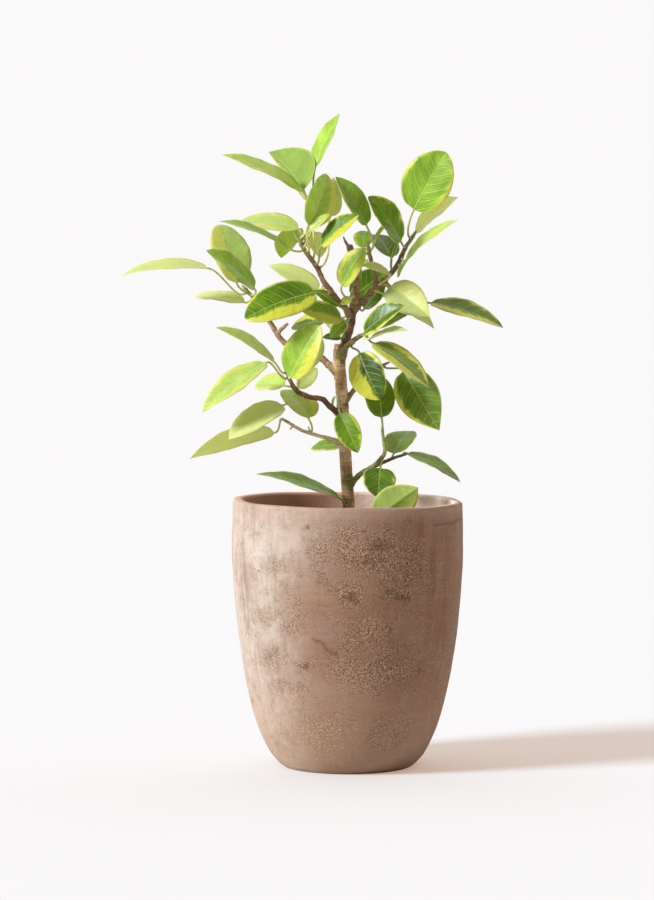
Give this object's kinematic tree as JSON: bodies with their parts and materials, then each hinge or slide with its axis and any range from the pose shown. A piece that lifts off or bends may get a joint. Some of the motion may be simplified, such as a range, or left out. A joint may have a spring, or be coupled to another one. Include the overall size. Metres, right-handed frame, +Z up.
{
  "type": "potted ficus",
  "caption": "Young variegated ficus tree with green and yellow leaves on a branching woody stem, planted in a tall egg-shaped unglazed clay pot.",
  "frame": {"origin": "middle of the pot's flat underside, on the pot's axis", "axes": "+Z up through the pot's mouth and the crown; -Y is the front, the side in the reference view; +X is to the right seen from the front"},
  "size_m": [0.4956, 0.301, 0.8503],
  "materials": {
    "clay": "matte",
    "earth": "matte",
    "bark": "matte",
    "leaf": "satin"
  },
  "bodies": {
    "root": {"pot": "clay", "soil": "earth", "trunk_and_branches": "bark", "leaf_01": "leaf", "leaf_02": "leaf", "leaf_03": "leaf", "leaf_04": "leaf", "leaf_05": "leaf", "leaf_06": "leaf", "leaf_07": "leaf", "leaf_08": "leaf", "leaf_09": "leaf", "leaf_10": "leaf", "leaf_11": "leaf", "leaf_12": "leaf", "leaf_13": "leaf", "leaf_14": "leaf", "leaf_15": "leaf", "leaf_16": "leaf", "leaf_17": "leaf", "leaf_18": "leaf", "leaf_19": "leaf", "leaf_20": "leaf", "leaf_21": "leaf", "leaf_22": "leaf", "leaf_23": "leaf", "leaf_24": "leaf", "leaf_25": "leaf", "leaf_26": "leaf", "leaf_27": "leaf", "leaf_28": "leaf", "leaf_29": "leaf", "leaf_30": "leaf", "leaf_31": "leaf", "leaf_32": "leaf", "leaf_33": "leaf", "leaf_34": "leaf", "leaf_35": "leaf", "leaf_36": "leaf", "leaf_37": "leaf", "leaf_38": "leaf", "leaf_39": "leaf", "leaf_40": "leaf", "leaf_41": "leaf", "leaf_42": "leaf", "leaf_43": "leaf", "leaf_44": "leaf", "leaf_45": "leaf", "leaf_46": "leaf", "leaf_47": "leaf", "leaf_48": "leaf", "leaf_49": "leaf", "leaf_50": "leaf", "leaf_51": "leaf", "leaf_52": "leaf", "leaf_53": "leaf", "leaf_54": "leaf", "leaf_55": "leaf", "leaf_56": "leaf", "leaf_57": "leaf"}
  },
  "joints": []
}
